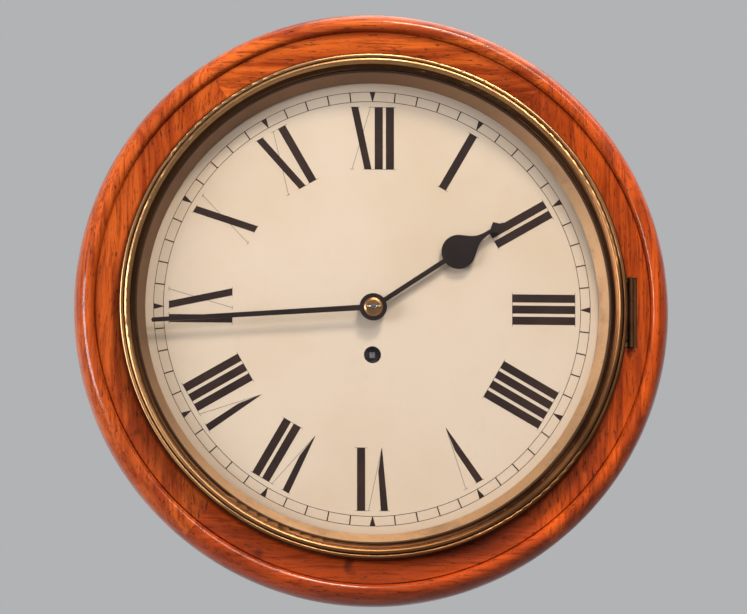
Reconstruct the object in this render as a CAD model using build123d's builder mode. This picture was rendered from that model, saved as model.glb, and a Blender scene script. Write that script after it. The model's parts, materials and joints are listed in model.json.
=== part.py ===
"""Schoolhouse wall clock: a turned wooden surround on a pegged box, a hinged brass bezel, an enamelled
dial and an eight-day spring movement with a short pendulum.

Millimetres. The origin is on the dial's axis at the wall, +X to the right, +Z up, the front faces -Y.
A depth is the distance out from the wall, so a depth of 127 is the plane y = -127.
"""

import os
from math import acos, atan2, cos, degrees, hypot, radians, sin

from build123d import *

# ---- driving dimensions: surround, dial and bezel ----
SURROUND_R = 190.5          # half of a 15 inch surround
SURROUND_BACK = 106.0
OPENING_R = 103.0           # hole behind the dial
REBATE_R = 159.5            # recess that takes the dial
FASCIA_DEPTH = 134.0        # inner edge of the sloping fascia
FASCIA_RISE = 1.5
QUIRK_R = 177.3             # crease between fascia and outer roll
CREST_DEPTH = 139.0         # front of the outer roll
SEAMS = {"right": (-53, 53), "top": (53, 125), "left": (125, 231), "bottom": (231, 307)}

DIAL_R = 158.0
DIAL_BACK = 125.8
DIAL_T = 1.2
DIAL_FRONT = DIAL_BACK + DIAL_T
WINDING_HOLE_R = 5.5
DIAL_SCREW_R = 155.0        # circle of the dial screws
DIAL_SCREW_ANGLES = (90, 210, 330)

BEZEL_R = 162.6
BEZEL_INNER_R = 156.1
BEZEL_LIP_R = 152.6
BEZEL_SEAT = FASCIA_DEPTH + 0.3
GLASS_R = 155.0
GLASS_BACK = 139.6
GLASS_T = 2.0
SIGHT_R = 145.4             # small end of the sight ring
SIGHT_DEPTH = 128.2

# bezel hinge: a let-in plate on the right of the surround
HINGE_X = 165.2
HINGE_DEPTH = 136.2
HINGE_KNUCKLE_R = 2.0
HINGE_PIN_R = 0.8
HINGE_TOP = 20.0
HINGE_BOTTOM = -25.0
HINGE_PLATE_X = (160.2, 169.0)
HINGE_PLATE_DEPTH = (132.7, 134.1)
HINGE_MIDDLE = (-10.0, 5.0)   # span of the bezel's own knuckle

# ---- driving dimensions: case ----
BOX_HALF = 110.0
BOARD = 10.0
BOX_TOP = 126.0
BOX_BOTTOM = -134.0
FOOT_FRONT = -122.0         # underside of the box where it meets the surround
FOOT_FLAT = 72.0            # depth at which the foot starts to curve up
INNER_HALF = BOX_HALF - BOARD
SIDE_OPENING_Z = 55.0
SIDE_OPENING_DEPTH = (20.0, 86.0)
SIDE_DOOR_T = 7.0
BOTTOM_OPENING_X = 45.0
BOTTOM_OPENING_DEPTH = (18.0, 57.0)
BOTTOM_DOOR_T = 6.0
DOOR_GAP = 0.4
LUG_X = (84.0, 99.8)
LUG_Z = (94.0, 110.0)
LUG_LENGTH = 30.0
PEG_R = 3.5
HANGER_HALF = 14.0
HANGER_Z = (96.0, 150.0)
HANGER_T = 2.0
EYE_Z = 139.0
EYE_R = 4.0

# butt hinges of the two doors
KNUCKLE_R = 1.4
LEAF_T = 1.0
LEAF_LENGTH = 18.0
LEAF_WIDTH = 10.0
LEAF_GAP = 1.6              # from the pin to the edge of a leaf
PIN_R = 0.6
SIDE_HINGE_DEPTH = 19.9
SIDE_HINGE_Z = (-35.0, 35.0)
BOTTOM_HINGE_DEPTH = 17.9
BOTTOM_HINGE_X = (-28.0, 28.0)
BUTTON_HALF = 12.0
BUTTON_WIDTH = 6.0
BUTTON_T = 3.0
SIDE_BUTTON_DEPTH = 93.0
BOTTOM_BUTTON_DEPTH = 62.5

# ---- driving dimensions: hands ----
HOUR_ANGLE = -56.5          # anticlockwise from twelve
MINUTE_ANGLE = -266.1
HOUR_DEPTH = 130.2
MINUTE_DEPTH = 133.0
HAND_T = 1.0
SPADE_R = 11.0
SPADE_AT = 65.9
HOUR_TIP = 101.0
MINUTE_TIP = 142.0
HUB_R = 8.8
COLLET_R = 6.1
ARBOR_TIP = 137.2

# ---- driving dimensions: movement ----
BACK_PLATE = 63.0
FRONT_PLATE = 103.0
PLATE_T = 2.0
PLATE_HALF = 41.0
PLATE_Z = (-62.0, 66.0)
PILLARS = [(-35, -56), (35, -56), (-35, 60), (35, 60)]
DIAL_FEET = [(-36, -36), (36, -36), (-36, 40), (36, 40)]
RUN_GAP = 0.05              # radial clearance of a pivot
BARREL_AT = (0.0, -30.0)
CENTER_AT = (0.0, 0.0)
ESCAPE_AT = (0.0, 34.0)
ESCAPE_R = 17.0
PALLET_AT = (0.0, 54.02)
PENDULUM_LENGTH = 147.0     # 9360 beats an hour
PENDULUM_DEPTH = 46.0
BOB_R = 18.0
BOB_T = 10.0

# teeth and modules, one pair a line
BARREL_TEETH, INTERMEDIATE_LEAVES, GREAT_MODULE = 84, 12, 0.62
INTERMEDIATE_TEETH, CENTER_LEAVES, INTERMEDIATE_MODULE = 60, 10, 0.6
CENTER_TEETH, THIRD_LEAVES, CENTER_MODULE = 80, 8, 0.47
THIRD_TEETH, ESCAPE_LEAVES, THIRD_MODULE = 78, 8, 0.45
ESCAPE_TEETH = 48
CANNON_LEAVES, MINUTE_TEETH, CANNON_MODULE = 12, 36, 0.625
MINUTE_LEAVES, HOUR_TEETH, HOUR_MODULE = 10, 40, 0.6
RATCHET_TEETH = 24
MINUTE_WHEEL_DIRECTION = 30.0

DIAL_AXIS = Axis((0, 0, 0), (0, -1, 0))


def facing(depth):
    """The plane that faces the viewer at a depth."""
    return Plane.XZ.offset(depth)


def section(angle):
    """A plane through the dial's axis at an angle from +X: across is the radius, up is the depth."""
    slope = radians(angle)
    return Plane(origin=(0, 0, 0), x_dir=(cos(slope), 0, sin(slope)), z_dir=(sin(slope), 0, -cos(slope)))


def turned(depth, angle):
    """The plane that faces the viewer at a depth, turned anticlockwise by an angle."""
    slope = radians(angle)
    return Plane(origin=(0, -depth, 0), x_dir=(cos(slope), 0, sin(slope)), z_dir=(0, -1, 0))


def polar(radius, angle, center=(0.0, 0.0)):
    """The point at a radius and an anticlockwise angle from +X."""
    return (center[0] + radius * cos(radians(angle)), center[1] + radius * sin(radians(angle)))


def disc(center, depths, radius, mode=Mode.ADD):
    """A round bar along the dial's axis between two depths."""
    with BuildSketch(facing(depths[0])) as profile:
        with Locations(center):
            Circle(radius)
    extrude(profile.sketch, amount=depths[1] - depths[0], mode=mode)


def block(x, depths, z, mode=Mode.ADD):
    """A box between limits in x, depth and z."""
    with BuildSketch(facing(depths[0])) as profile:
        with Locations(((x[0] + x[1]) / 2, (z[0] + z[1]) / 2)):
            Rectangle(x[1] - x[0], z[1] - z[0])
    extrude(profile.sketch, amount=depths[1] - depths[0], mode=mode)


def write(part, name):
    """Label a finished piece and write its STEP file."""
    part.label = name
    export_step(part, f"parts/{name}.step")


def third_corner(a, from_a, b, from_b, side):
    """The arbor centre at given distances from two others, side 1 to the left of the line a to b."""
    along = degrees(atan2(b[1] - a[1], b[0] - a[0]))
    apart = hypot(b[0] - a[0], b[1] - a[1])
    corner = degrees(acos((from_a**2 + apart**2 - from_b**2) / (2 * from_a * apart)))
    return polar(from_a, along + side * corner, a)


def direction(a, b):
    """The angle of the line from a to b."""
    return degrees(atan2(b[1] - a[1], b[0] - a[0]))


def meshed_phase(phase, teeth, along, mate_teeth):
    """The angle of a tooth on the mate, so that its gap takes the first wheel's tooth."""
    pitches = (along - phase) * teeth / 360
    return along + 180 - (0.5 - pitches) * 360 / mate_teeth


def tooth_outline(teeth, module, phase, tip, root, shares):
    """Straight-sided teeth. tip and root are in modules, shares are half widths in pitches."""
    pitch = 360 / teeth
    radius = teeth * module / 2
    points = []
    for tooth in range(teeth):
        middle = phase + tooth * pitch
        points.append(polar(radius - root * module, middle - shares[0] * pitch))
        points.append(polar(radius + tip * module, middle - shares[1] * pitch))
        points.append(polar(radius + tip * module, middle + shares[1] * pitch))
        points.append(polar(radius - root * module, middle + shares[0] * pitch))
    return points


def wheel_outline(teeth, module, phase):
    return tooth_outline(teeth, module, phase, tip=0.8, root=1.3, shares=(0.25, 0.09))


def pinion_outline(teeth, module, phase):
    return tooth_outline(teeth, module, phase, tip=0.7, root=1.3, shares=(0.19, 0.08))


def toothed(outline, center, depths):
    """A solid toothed wheel or pinion between two depths."""
    with BuildSketch(facing(depths[0])) as profile:
        with Locations(center):
            Polygon(*outline, align=None)
    extrude(profile.sketch, amount=depths[1] - depths[0])


def crossed_wheel(outline, center, depths, rim, hub, bore, arms):
    """A wheel with crossed-out arms between two depths."""
    with BuildSketch(facing(depths[0])) as profile:
        with Locations(center):
            Polygon(*outline, align=None)
            Circle(rim, mode=Mode.SUBTRACT)
            Circle(hub)
            for arm in range(arms):
                Rectangle(rim + 0.4, 0.16 * rim, rotation=arm * 360 / arms + 90,
                          align=(Align.MIN, Align.CENTER))
            Circle(bore, mode=Mode.SUBTRACT)
    extrude(profile.sketch, amount=depths[1] - depths[0])


def screw(plane, head, shank, mode=Mode.ADD):
    """A slotted screw whose head rises from the plane and whose shank runs below it."""
    with BuildSketch(plane.offset(-shank[1])) as profile:
        Circle(shank[0])
    extrude(profile.sketch, amount=shank[1], mode=mode)
    with BuildSketch(plane) as profile:
        Circle(head[0])
    extrude(profile.sketch, amount=head[1], mode=mode)
    if mode == Mode.ADD:
        with BuildSketch(plane.offset(head[1] * 0.6)) as profile:
            Rectangle(2.2 * head[0], 0.24 * head[0])
        extrude(profile.sketch, amount=head[1], mode=Mode.SUBTRACT)


def knuckles(plane, spans, side):
    """Barrels of a butt hinge about the plane's origin, with the strap to the leaf on one side."""
    for start, length in spans:
        with BuildSketch(plane.offset(start)) as profile:
            Circle(KNUCKLE_R)
            with Locations((side * LEAF_GAP / 2, LEAF_T / 2 - KNUCKLE_R)):
                Rectangle(LEAF_GAP, LEAF_T)
        extrude(profile.sketch, amount=length)


def leaf(plane, side):
    """The flat leaf of a butt hinge on one side of the pin."""
    with BuildSketch(plane.offset(-LEAF_LENGTH / 2)) as profile:
        with Locations((side * (LEAF_GAP + LEAF_WIDTH / 2), LEAF_T / 2 - KNUCKLE_R)):
            Rectangle(LEAF_WIDTH, LEAF_T)
    extrude(profile.sketch, amount=LEAF_LENGTH)


# ---- places worked out from the driving dimensions ----
INTERMEDIATE_AT = third_corner(
    BARREL_AT, GREAT_MODULE * (BARREL_TEETH + INTERMEDIATE_LEAVES) / 2,
    CENTER_AT, INTERMEDIATE_MODULE * (INTERMEDIATE_TEETH + CENTER_LEAVES) / 2, 1)
THIRD_AT = third_corner(
    CENTER_AT, CENTER_MODULE * (CENTER_TEETH + THIRD_LEAVES) / 2,
    ESCAPE_AT, THIRD_MODULE * (THIRD_TEETH + ESCAPE_LEAVES) / 2, -1)
MINUTE_WHEEL_AT = polar(CANNON_MODULE * (CANNON_LEAVES + MINUTE_TEETH) / 2, MINUTE_WHEEL_DIRECTION)

BARREL_PHASE = 0.0
INTERMEDIATE_LEAF_PHASE = meshed_phase(
    BARREL_PHASE, BARREL_TEETH, direction(BARREL_AT, INTERMEDIATE_AT), INTERMEDIATE_LEAVES)
INTERMEDIATE_PHASE = 0.0
CENTER_LEAF_PHASE = meshed_phase(
    INTERMEDIATE_PHASE, INTERMEDIATE_TEETH, direction(INTERMEDIATE_AT, CENTER_AT), CENTER_LEAVES)
CENTER_PHASE = 0.0
THIRD_LEAF_PHASE = meshed_phase(CENTER_PHASE, CENTER_TEETH, direction(CENTER_AT, THIRD_AT), THIRD_LEAVES)
THIRD_PHASE = 0.0
ESCAPE_LEAF_PHASE = meshed_phase(THIRD_PHASE, THIRD_TEETH, direction(THIRD_AT, ESCAPE_AT), ESCAPE_LEAVES)
CANNON_PHASE = 0.0
MINUTE_PHASE = meshed_phase(CANNON_PHASE, CANNON_LEAVES, MINUTE_WHEEL_DIRECTION, MINUTE_TEETH)
HOUR_PHASE = 0.0
MINUTE_LEAF_PHASE = meshed_phase(HOUR_PHASE, HOUR_TEETH, MINUTE_WHEEL_DIRECTION, MINUTE_LEAVES)

SIDE_PINS = [
    Plane(origin=(BOX_HALF + KNUCKLE_R, -SIDE_HINGE_DEPTH, z), x_dir=(0, -1, 0), z_dir=(0, 0, 1))
    for z in SIDE_HINGE_Z
]
BOTTOM_PINS = [
    Plane(origin=(x, -BOTTOM_HINGE_DEPTH, BOX_BOTTOM - KNUCKLE_R), x_dir=(0, -1, 0), z_dir=(1, 0, 0))
    for x in BOTTOM_HINGE_X
]
HINGE_THIRD = LEAF_LENGTH / 3
OUTER_SPANS = [(-LEAF_LENGTH / 2, HINGE_THIRD), (HINGE_THIRD / 2, HINGE_THIRD)]
MIDDLE_SPAN = [(0.15 - HINGE_THIRD / 2, HINGE_THIRD - 0.3)]

DIAL_SCREWS = [
    Plane(origin=(x, -DIAL_FRONT, z), x_dir=(1, 0, 0), z_dir=(0, -1, 0))
    for x, z in [polar(DIAL_SCREW_R, angle) for angle in DIAL_SCREW_ANGLES]
]
PLATE_SCREWS = [
    Plane(origin=(HINGE_PLATE_X[0] + 1.9, 1.1 - HINGE_PLATE_DEPTH[1], z), x_dir=(1, 0, 0), z_dir=(0, -1, 0))
    for z in (HINGE_BOTTOM + 2.2, HINGE_TOP - 2.2)
]
HANGER_SCREWS = [
    Plane(origin=(x, -1.2, z), x_dir=(1, 0, 0), z_dir=(0, 1, 0)) for x, z in ((-8, 103), (8, 103), (0, 117))
]
LEAF_SCREWS = [
    Plane(origin=(BOX_HALF + 0.3, 7.0 - SIDE_HINGE_DEPTH, z + offset), x_dir=(0, 1, 0), z_dir=(1, 0, 0))
    for z in SIDE_HINGE_Z for offset in (-5.5, 5.5)
] + [
    Plane(origin=(x + offset, 7.0 - BOTTOM_HINGE_DEPTH, BOX_BOTTOM - 0.3), x_dir=(1, 0, 0),
          z_dir=(0, 0, -1))
    for x in BOTTOM_HINGE_X for offset in (-5.5, 5.5)
]
DIAL_SCREW_HEAD, DIAL_SCREW_SHANK = (2.3, 1.3), (1.2, 11.0)
PLATE_SCREW_HEAD, PLATE_SCREW_SHANK = (1.4, 1.1), (0.8, 8.0)
HANGER_SCREW_HEAD, HANGER_SCREW_SHANK = (3.0, 1.2), (1.6, 7.5)
LEAF_SCREW_HEAD, LEAF_SCREW_SHANK = (1.3, 0.7), (0.8, 6.0)

os.makedirs("parts", exist_ok=True)

# ---- wooden surround, four glued segments ----
for name, (start, end) in SEAMS.items():
    with BuildPart() as segment:
        with BuildSketch(section(start)):
            with BuildLine():
                Polyline((QUIRK_R, FASCIA_DEPTH + FASCIA_RISE), (REBATE_R + 3.5, FASCIA_DEPTH),
                         (REBATE_R, FASCIA_DEPTH), (REBATE_R, DIAL_BACK), (OPENING_R, DIAL_BACK),
                         (OPENING_R, SURROUND_BACK), (SURROUND_R - 6.5, SURROUND_BACK),
                         (SURROUND_R, SURROUND_BACK + 7), (SURROUND_R, SURROUND_BACK + 16))
                Bezier((SURROUND_R, SURROUND_BACK + 16), (SURROUND_R, CREST_DEPTH - 7.5),
                       (SURROUND_R - 3.3, CREST_DEPTH), (SURROUND_R - 8.3, CREST_DEPTH))
                Bezier((SURROUND_R - 8.3, CREST_DEPTH), (QUIRK_R + 2.3, CREST_DEPTH),
                       (QUIRK_R + 0.9, CREST_DEPTH - 1.4), (QUIRK_R + 0.7, CREST_DEPTH - 4.3))
                Line((QUIRK_R + 0.7, CREST_DEPTH - 4.3), (QUIRK_R, FASCIA_DEPTH + FASCIA_RISE))
            make_face()
        revolve(axis=DIAL_AXIS, revolution_arc=end - start)
        for plane in DIAL_SCREWS:
            screw(plane, DIAL_SCREW_HEAD, DIAL_SCREW_SHANK, Mode.SUBTRACT)
        if name == "right":
            block((HINGE_PLATE_X[0] - 0.2, HINGE_PLATE_X[1] + 0.2), (HINGE_PLATE_DEPTH[0], CREST_DEPTH),
                  (HINGE_BOTTOM - 0.2, HINGE_TOP + 0.2), Mode.SUBTRACT)
            for plane in PLATE_SCREWS:
                screw(plane, PLATE_SCREW_HEAD, PLATE_SCREW_SHANK, Mode.SUBTRACT)
        if name == "left":
            disc((1.6 - BEZEL_R, 0), (FASCIA_DEPTH - 6, CREST_DEPTH), 1.6, Mode.SUBTRACT)
    write(segment.part, f"surround_{name}")

# ---- lugs behind the surround, and the pegs that hold the box to them ----
with BuildPart() as surround_lugs:
    for side in (-1, 1):
        for end in (-1, 1):
            block(sorted((side * LUG_X[0], side * LUG_X[1])), (SURROUND_BACK - LUG_LENGTH, SURROUND_BACK),
                  sorted((end * LUG_Z[0], end * LUG_Z[1])))
    for height in (-sum(LUG_Z) / 2, sum(LUG_Z) / 2):
        with BuildSketch(Plane.YZ.offset(-BOX_HALF)):
            with Locations((LUG_LENGTH / 2 - SURROUND_BACK, height)):
                Circle(PEG_R)
        extrude(amount=2 * BOX_HALF, mode=Mode.SUBTRACT)
write(surround_lugs.part, "surround_lugs")

with BuildPart() as case_pegs:
    for side in (-1, 1):
        for height in (-sum(LUG_Z) / 2, sum(LUG_Z) / 2):
            with BuildSketch(Plane.YZ.offset(side * LUG_X[0])):
                with Locations((LUG_LENGTH / 2 - SURROUND_BACK, height)):
                    Circle(PEG_R)
            extrude(amount=side * (BOX_HALF + 6 - LUG_X[0]))
write(case_pegs.part, "case_pegs")

# ---- the box ----
for name, side in (("left", -1), ("right", 1)):
    with BuildPart() as case_side:
        with BuildSketch(Plane.YZ.offset(side * INNER_HALF)):
            with BuildLine():
                Polyline((-FOOT_FLAT, BOX_BOTTOM), (0, BOX_BOTTOM), (0, BOX_TOP), (-SURROUND_BACK, BOX_TOP),
                         (-SURROUND_BACK, FOOT_FRONT))
                Bezier((-SURROUND_BACK, FOOT_FRONT), (-SURROUND_BACK + 10, FOOT_FRONT - 8),
                       (-FOOT_FLAT - 14, BOX_BOTTOM), (-FOOT_FLAT, BOX_BOTTOM))
            make_face()
        extrude(amount=side * BOARD)
        for height in (-sum(LUG_Z) / 2, sum(LUG_Z) / 2):
            with BuildSketch(Plane.YZ.offset(side * INNER_HALF)):
                with Locations((LUG_LENGTH / 2 - SURROUND_BACK, height)):
                    Circle(PEG_R)
            extrude(amount=side * BOARD, mode=Mode.SUBTRACT)
        if side == 1:
            block((INNER_HALF, BOX_HALF), SIDE_OPENING_DEPTH, (-SIDE_OPENING_Z, SIDE_OPENING_Z),
                  Mode.SUBTRACT)
            for plane in LEAF_SCREWS:
                screw(plane, LEAF_SCREW_HEAD, LEAF_SCREW_SHANK, Mode.SUBTRACT)
            with BuildSketch(Plane.YZ.offset(BOX_HALF - 6)):
                with Locations((-SIDE_BUTTON_DEPTH, 0)):
                    Circle(1.05)
            extrude(amount=6, mode=Mode.SUBTRACT)
    write(case_side.part, f"case_{name}_side")

with BuildPart() as case_top:
    block((-INNER_HALF, INNER_HALF), (BOARD, SURROUND_BACK), (BOX_TOP - BOARD, BOX_TOP))
write(case_top.part, "case_top")

with BuildPart() as case_bottom:
    with BuildSketch(Plane.YZ.offset(-INNER_HALF)):
        with BuildLine():
            Bezier((-SURROUND_BACK, FOOT_FRONT), (-SURROUND_BACK + 10, FOOT_FRONT - 8),
                   (-FOOT_FLAT - 14, BOX_BOTTOM), (-FOOT_FLAT, BOX_BOTTOM))
            Polyline((-FOOT_FLAT, BOX_BOTTOM), (-BOARD, BOX_BOTTOM), (-BOARD, BOX_BOTTOM + BOARD),
                     (-FOOT_FLAT, BOX_BOTTOM + BOARD))
            Bezier((-FOOT_FLAT, BOX_BOTTOM + BOARD), (-FOOT_FLAT - 12, BOX_BOTTOM + BOARD),
                   (-SURROUND_BACK + 8, FOOT_FRONT + BOARD - 6), (-SURROUND_BACK, FOOT_FRONT + BOARD))
            Line((-SURROUND_BACK, FOOT_FRONT + BOARD), (-SURROUND_BACK, FOOT_FRONT))
        make_face()
    extrude(amount=2 * INNER_HALF)
    block((-BOTTOM_OPENING_X, BOTTOM_OPENING_X), BOTTOM_OPENING_DEPTH, (BOX_BOTTOM, BOX_BOTTOM + BOARD),
          Mode.SUBTRACT)
    for plane in LEAF_SCREWS:
        screw(plane, LEAF_SCREW_HEAD, LEAF_SCREW_SHANK, Mode.SUBTRACT)
    with BuildSketch(Plane.XY.offset(BOX_BOTTOM)):
        with Locations((0, -BOTTOM_BUTTON_DEPTH)):
            Circle(1.05)
    extrude(amount=6, mode=Mode.SUBTRACT)
write(case_bottom.part, "case_bottom")

with BuildPart() as case_backboard:
    block((-INNER_HALF, INNER_HALF), (0, BOARD), (BOX_BOTTOM, BOX_TOP))
    block((-HANGER_HALF, HANGER_HALF), (0, HANGER_T), (HANGER_Z[0], BOX_TOP), Mode.SUBTRACT)
    for plane in HANGER_SCREWS:
        screw(plane, HANGER_SCREW_HEAD, HANGER_SCREW_SHANK, Mode.SUBTRACT)
write(case_backboard.part, "case_backboard")

with BuildPart() as hanger_plate:
    block((-HANGER_HALF, HANGER_HALF), (0, HANGER_T), HANGER_Z)
    fillet(hanger_plate.edges().filter_by(Axis.Y).group_by(Axis.Z)[-1], HANGER_HALF - 1)
    disc((0, EYE_Z), (0, HANGER_T), EYE_R, Mode.SUBTRACT)
    for plane in HANGER_SCREWS:
        screw(plane, HANGER_SCREW_HEAD, HANGER_SCREW_SHANK, Mode.SUBTRACT)
write(hanger_plate.part, "hanger_plate")

# ---- doors, their hinges and turn buttons ----
with BuildPart() as side_door:
    block((BOX_HALF - SIDE_DOOR_T, BOX_HALF), (SIDE_OPENING_DEPTH[0] + DOOR_GAP, SIDE_OPENING_DEPTH[1] - 1),
          (DOOR_GAP - SIDE_OPENING_Z, SIDE_OPENING_Z - DOOR_GAP))
write(side_door.part, "side_door")

with BuildPart() as bottom_door:
    block((DOOR_GAP - BOTTOM_OPENING_X, BOTTOM_OPENING_X - DOOR_GAP),
          (BOTTOM_OPENING_DEPTH[0] + DOOR_GAP, BOTTOM_OPENING_DEPTH[1] - 1.4),
          (BOX_BOTTOM, BOX_BOTTOM + BOTTOM_DOOR_T))
write(bottom_door.part, "bottom_door")

with BuildPart() as case_hinge_leaves:
    for plane in SIDE_PINS + BOTTOM_PINS:
        leaf(plane, -1)
        knuckles(plane, OUTER_SPANS, -1)
        with BuildSketch(plane.offset(-LEAF_LENGTH / 2)):
            Circle(PIN_R)
        extrude(amount=LEAF_LENGTH)
    for plane in LEAF_SCREWS:
        screw(plane, LEAF_SCREW_HEAD, LEAF_SCREW_SHANK, Mode.SUBTRACT)
write(case_hinge_leaves.part, "case_hinge_leaves")

for name, pins in (("side", SIDE_PINS), ("bottom", BOTTOM_PINS)):
    with BuildPart() as door_leaves:
        for plane in pins:
            leaf(plane, 1)
            knuckles(plane, MIDDLE_SPAN, 1)
            with BuildSketch(plane.offset(-LEAF_LENGTH / 2)):
                Circle(PIN_R + RUN_GAP)
            extrude(amount=LEAF_LENGTH, mode=Mode.SUBTRACT)
    write(door_leaves.part, f"{name}_door_hinges")

BUTTON_PLANES = {
    "side": Plane(origin=(BOX_HALF, -SIDE_BUTTON_DEPTH, 0), x_dir=(0, 0, 1), z_dir=(1, 0, 0)),
    "bottom": Plane(origin=(0, -BOTTOM_BUTTON_DEPTH, BOX_BOTTOM), x_dir=(1, 0, 0), z_dir=(0, 0, -1)),
}
for name, plane in BUTTON_PLANES.items():
    with BuildPart() as button:
        with BuildSketch(plane.offset(0.2)):
            SlotOverall(2 * BUTTON_HALF, BUTTON_WIDTH)
        extrude(amount=BUTTON_T)
        with BuildSketch(plane.offset(-5.5)):
            Circle(1.0)
        extrude(amount=6)
        with BuildSketch(plane.offset(0.2 + BUTTON_T)):
            Circle(2.2)
        extrude(amount=0.8)
        with BuildSketch(plane.offset(0.6 + BUTTON_T)):
            Rectangle(5, 0.6)
        extrude(amount=0.8, mode=Mode.SUBTRACT)
    write(button.part, f"{name}_door_button")

# ---- dial ----
with BuildPart() as dial_plate:
    disc((0, 0), (DIAL_BACK, DIAL_FRONT), DIAL_R)
    disc((0, 0), (DIAL_BACK, DIAL_FRONT), 5.2, Mode.SUBTRACT)
    disc(BARREL_AT, (DIAL_BACK, DIAL_FRONT), WINDING_HOLE_R, Mode.SUBTRACT)
    for plane in DIAL_SCREWS:
        screw(plane, DIAL_SCREW_HEAD, DIAL_SCREW_SHANK, Mode.SUBTRACT)
write(dial_plate.part, "dial_plate")

with BuildPart() as dial_feet:
    for foot in DIAL_FEET:
        disc(foot, (FRONT_PLATE + PLATE_T, DIAL_BACK), 2.5)
        disc(foot, (FRONT_PLATE - 1.5, FRONT_PLATE + PLATE_T), 1.5)
write(dial_feet.part, "dial_feet")

with BuildPart() as case_screws:
    for plane in DIAL_SCREWS:
        screw(plane, DIAL_SCREW_HEAD, DIAL_SCREW_SHANK)
    for plane in PLATE_SCREWS:
        screw(plane, PLATE_SCREW_HEAD, PLATE_SCREW_SHANK)
    for plane in HANGER_SCREWS:
        screw(plane, HANGER_SCREW_HEAD, HANGER_SCREW_SHANK)
    for plane in LEAF_SCREWS:
        screw(plane, LEAF_SCREW_HEAD, LEAF_SCREW_SHANK)
write(case_screws.part, "case_screws")

# ---- bezel with its glass and sight ring ----
LEAF_DEPTH = (BEZEL_SEAT + 0.1, BEZEL_SEAT + 1.2)
LEAF_SPAN = (HINGE_BOTTOM + 5, HINGE_TOP - 5)
LEAF_X = (158.7, HINGE_X - HINGE_KNUCKLE_R - 0.3)

with BuildPart() as bezel_ring:
    with BuildSketch(section(100)):
        with BuildLine():
            Polyline((BEZEL_LIP_R, 142.4), (BEZEL_LIP_R, 141.7), (BEZEL_INNER_R, 141.7),
                     (BEZEL_INNER_R, BEZEL_SEAT), (BEZEL_R, BEZEL_SEAT), (BEZEL_R, 142.6))
            ThreePointArc((BEZEL_R, 142.6), (161.35, 144.5), (159.75, 143.7))
            Line((159.75, 143.7), (159.5, 143.7))
            ThreePointArc((159.5, 143.7), (158.1, 145.5), (156.5, 144.4))
            ThreePointArc((156.5, 144.4), (155.2, 142.9), (BEZEL_LIP_R, 142.4))
        make_face()
    revolve(axis=DIAL_AXIS)
    block((LEAF_X[0] - 0.2, HINGE_X), (BEZEL_SEAT - 1, LEAF_DEPTH[1] + 0.1),
          (LEAF_SPAN[0] - 0.2, LEAF_SPAN[1] + 0.2), Mode.SUBTRACT)
write(bezel_ring.part, "bezel_ring")

with BuildPart() as bezel_glass:
    disc((0, 0), (GLASS_BACK, GLASS_BACK + GLASS_T), GLASS_R)
write(bezel_glass.part, "bezel_glass")

with BuildPart() as sight_ring:
    with BuildSketch(section(0)):
        with BuildLine():
            Polyline((SIGHT_R, SIGHT_DEPTH), (152.2, 138.7), (152.2, 139.5), (155.9, 139.5), (155.9, 138.7),
                     (153.1, 138.7), (SIGHT_R + 0.9, SIGHT_DEPTH), close=True)
        make_face()
    revolve(axis=DIAL_AXIS)
write(sight_ring.part, "sight_ring")

PIN_PLANE = Plane(origin=(HINGE_X, -HINGE_DEPTH, 0), x_dir=(1, 0, 0), z_dir=(0, 0, 1))
with BuildPart() as bezel_hinge_leaf:
    block(LEAF_X, LEAF_DEPTH, LEAF_SPAN)
    block((LEAF_X[0], HINGE_X), LEAF_DEPTH, HINGE_MIDDLE)
    with BuildSketch(PIN_PLANE.offset(HINGE_MIDDLE[0])):
        Circle(HINGE_KNUCKLE_R)
    extrude(amount=HINGE_MIDDLE[1] - HINGE_MIDDLE[0])
    with BuildSketch(PIN_PLANE.offset(HINGE_MIDDLE[0])):
        Circle(HINGE_PIN_R + RUN_GAP)
    extrude(amount=HINGE_MIDDLE[1] - HINGE_MIDDLE[0], mode=Mode.SUBTRACT)
write(bezel_hinge_leaf.part, "bezel_hinge_leaf")

with BuildPart() as bezel_hinge_plate:
    block(HINGE_PLATE_X, HINGE_PLATE_DEPTH, (HINGE_BOTTOM, HINGE_TOP))
    for plane in PLATE_SCREWS:
        screw(plane, PLATE_SCREW_HEAD, PLATE_SCREW_SHANK, Mode.SUBTRACT)
    for span in ((HINGE_BOTTOM, HINGE_MIDDLE[0] - 0.3), (HINGE_MIDDLE[1] + 0.3, HINGE_TOP)):
        block((HINGE_X, HINGE_X + HINGE_KNUCKLE_R), (HINGE_PLATE_DEPTH[1], HINGE_DEPTH), span)
        with BuildSketch(PIN_PLANE.offset(span[0])):
            Circle(HINGE_KNUCKLE_R)
        extrude(amount=span[1] - span[0])
    with BuildSketch(PIN_PLANE.offset(HINGE_BOTTOM - 0.5)):
        Circle(HINGE_PIN_R)
    extrude(amount=HINGE_TOP - HINGE_BOTTOM + 1)
write(bezel_hinge_plate.part, "bezel_hinge_plate")

with BuildPart() as bezel_catch:
    disc((1.6 - BEZEL_R, 0), (FASCIA_DEPTH - 4.5, BEZEL_SEAT), 1.3)
write(bezel_catch.part, "bezel_catch")

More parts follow.
